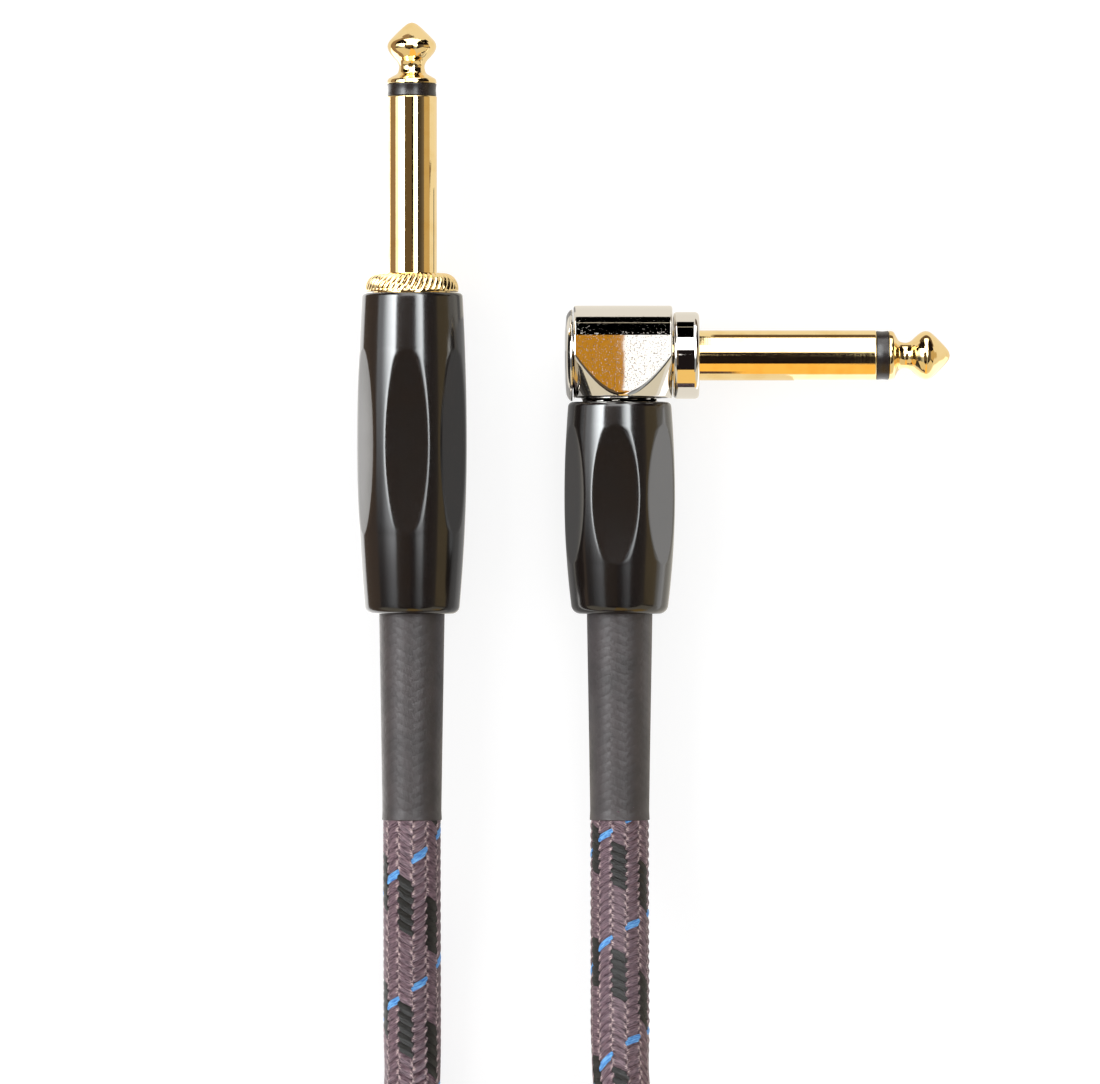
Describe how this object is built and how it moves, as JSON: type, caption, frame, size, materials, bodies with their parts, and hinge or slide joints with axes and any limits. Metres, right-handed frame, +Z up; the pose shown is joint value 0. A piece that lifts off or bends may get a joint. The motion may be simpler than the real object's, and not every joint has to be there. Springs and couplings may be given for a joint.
{
  "type": "instrument cable",
  "caption": "Braided instrument cable with a straight and a right-angle 6.35 mm phone plug, its spare length tied in a round coil.",
  "frame": {"origin": "on the resting surface, under the middle of the box round the two plugs and their heat-shrinks", "axes": "+Z up from the resting surface; +Y along the straight plug towards its tip; +X along the angle plug towards its tip"},
  "size_m": [0.1026, 0.2526, 0.0287],
  "materials": {
    "gold_plating": "polished gold plating",
    "collar_nickel": "polished plating",
    "polished_nickel": "polished, fine sparkle",
    "black_barrel": "gloss black",
    "shaft_insulator": "satin",
    "terminal_brass": "stamped, bright",
    "clear_liner": "milky clear",
    "heat_shrink": "satin polyolefin",
    "inner_jacket": "matt",
    "core_insulation": "waxy",
    "bare_copper": "bare strands",
    "solder": "bright solder",
    "braided_cover": "woven yarn, mauve with blue and black",
    "tie_strap": "hook-and-loop strap"
  },
  "bodies": {
    "cable": {"angle_cable_jacket": "inner_jacket", "angle_centre_conductor": "bare_copper", "angle_collar": "collar_nickel", "angle_core_insulation": "core_insulation", "angle_ground_lug": "terminal_brass", "angle_ground_solder": "solder", "angle_head": "polished_nickel", "angle_heat_shrink": "heat_shrink", "angle_neck": "polished_nickel", "angle_rear_insulator": "shaft_insulator", "angle_shield": "bare_copper", "angle_sleeve": "gold_plating", "angle_tip": "gold_plating", "angle_tip_insulator": "shaft_insulator", "angle_tip_lug": "terminal_brass", "angle_tip_solder": "solder", "coil_tie": "tie_strap", "cord_coil": "braided_cover", "cord_lead_angle": "braided_cover", "cord_lead_straight": "braided_cover", "straight_cable_jacket": "inner_jacket", "straight_centre_conductor": "bare_copper", "straight_collar": "gold_plating", "straight_core_insulation": "core_insulation", "straight_ground_lug": "terminal_brass", "straight_ground_solder": "solder", "straight_heat_shrink": "heat_shrink", "straight_rear_insulator": "shaft_insulator", "straight_shield": "bare_copper", "straight_sleeve": "gold_plating", "straight_tip": "gold_plating", "straight_tip_insulator": "shaft_insulator", "straight_tip_lug": "terminal_brass", "straight_tip_solder": "solder"},
    "straight_liner": {"straight_liner": "clear_liner"},
    "straight_barrel": {"straight_barrel": "black_barrel"},
    "angle_liner": {"angle_liner": "clear_liner"},
    "angle_handle": {"angle_handle": "black_barrel"},
    "angle_cap": {"angle_cap": "polished_nickel"}
  },
  "joints": [
    {"name": "straight_barrel_travel", "type": "slide", "parent": "cable", "child": "straight_liner", "axis": [0, -1, 0], "range_m": [0, 0.006]},
    {"name": "straight_barrel_unscrew", "type": "hinge", "parent": "straight_liner", "child": "straight_barrel", "pos_m": [-0.03058, -0.00408, 0.00674], "axis": [0, -1, 0], "range_deg": [0, 2160]},
    {"name": "angle_handle_travel", "type": "slide", "parent": "cable", "child": "angle_liner", "axis": [0, -1, 0], "range_m": [0, 0.006]},
    {"name": "angle_handle_unscrew", "type": "hinge", "parent": "angle_liner", "child": "angle_handle", "pos_m": [-0.00428, -0.01098, 0.00673], "axis": [0, -1, 0], "range_deg": [0, 2160]},
    {"name": "angle_cap_pull", "type": "slide", "parent": "cable", "child": "angle_cap", "axis": [-1, 0, 0], "range_m": [0, 0.006]}
  ],
  "couplings": [
    {"joint": "straight_barrel_travel", "follows": "straight_barrel_unscrew", "m_per_rad": 0.00015915},
    {"joint": "angle_handle_travel", "follows": "angle_handle_unscrew", "m_per_rad": 0.00015915}
  ]
}
